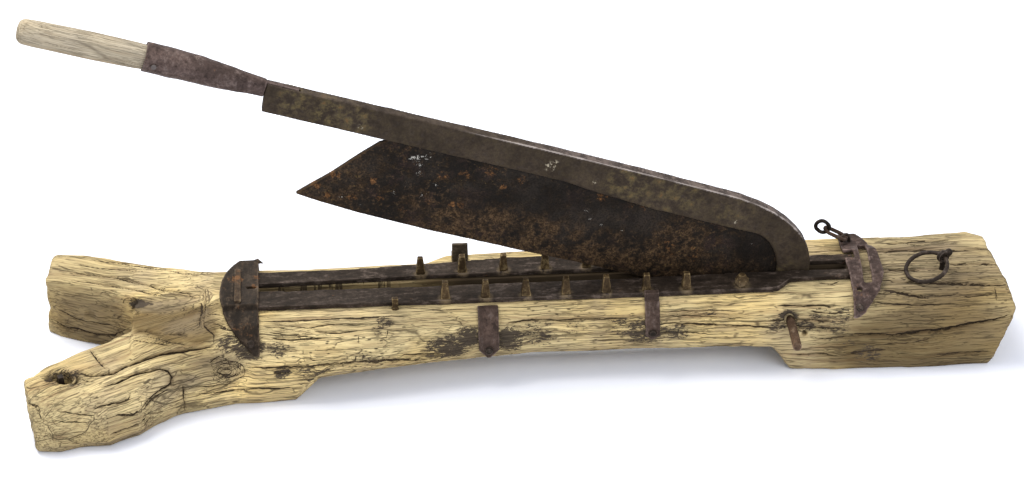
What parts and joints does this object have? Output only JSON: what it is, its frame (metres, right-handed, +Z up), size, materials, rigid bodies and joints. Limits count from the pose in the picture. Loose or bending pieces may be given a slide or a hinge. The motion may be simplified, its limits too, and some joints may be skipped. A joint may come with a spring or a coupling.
{
  "type": "hinged-knife fodder chopper",
  "caption": "Hand chopper for straw and hay: a long hinged knife that drops into a slot between toothed iron rails on a forked timber bed.",
  "frame": {"origin": "bottom centre of the bounding box, on the ground", "axes": "+X along the bed towards the pivot and the block, +Y away from the side seen in the picture, +Z up"},
  "size_m": [1.1831, 0.307, 0.4801],
  "materials": {
    "bed_timber": "hewn, weathered and cracked",
    "handle_wood": "worn grey",
    "iron": "forged, dark brown patina",
    "dark_iron": "forged, dark",
    "rusty_iron": "rusty",
    "tooth_iron": "worn, yellow-brown",
    "knife_iron": "dark with rust patches",
    "bar_iron": "forged, olive-grey patina"
  },
  "bodies": {
    "base": {"timber_bed": "bed_timber", "front_rail": "iron", "back_rail": "iron", "front_teeth": "tooth_iron", "back_teeth": "tooth_iron", "rail_bolt": "tooth_iron", "side_spike": "tooth_iron", "left_saddle_plate": "iron", "left_plate_rib": "iron", "right_saddle_plate": "iron", "front_strap_left": "iron", "front_strap_right": "iron", "back_strap_left": "iron", "back_strap_right": "iron", "strap_nails": "dark_iron", "left_plate_nails": "dark_iron", "right_plate_nails": "dark_iron", "ring_eye": "dark_iron", "chain_staple": "dark_iron", "foot_spike": "dark_iron"},
    "knife": {"knife_plate": "knife_iron", "knife_back_bar": "bar_iron", "handle_socket": "iron", "wooden_handle": "handle_wood", "handle_nail": "dark_iron"},
    "pivot_pin": {"pivot_pin": "tooth_iron"},
    "tie_ring": {"tie_ring": "dark_iron"},
    "chain_link_lower": {"chain_link_lower": "dark_iron"},
    "chain_link_upper": {"chain_link_upper": "rusty_iron"}
  },
  "joints": [
    {"name": "knife_pivot", "type": "hinge", "parent": "base", "child": "knife", "pos_m": [0.3166, 0.02, 0.0683], "axis": [0, 1, 0], "range_deg": [-20.4, 46]},
    {"name": "pin_draw", "type": "slide", "parent": "base", "child": "pivot_pin", "axis": [0, -1, 0], "range_m": [0, 0.156]},
    {"name": "ring_swing", "type": "hinge", "parent": "base", "child": "tie_ring", "pos_m": [0.5075, 0.0114, 0.115], "axis": [-0.436, 0.9, 0], "range_deg": [0, 210]},
    {"name": "lower_link_swing", "type": "hinge", "parent": "base", "child": "chain_link_lower", "pos_m": [0.399, 0.072, 0.106], "axis": [0, 1, 0], "range_deg": [-25, 90]},
    {"name": "upper_link_swing", "type": "hinge", "parent": "chain_link_lower", "child": "chain_link_upper", "pos_m": [0.37302, 0.072, 0.121], "axis": [0, 1, 0], "range_deg": [-20, 120]}
  ]
}
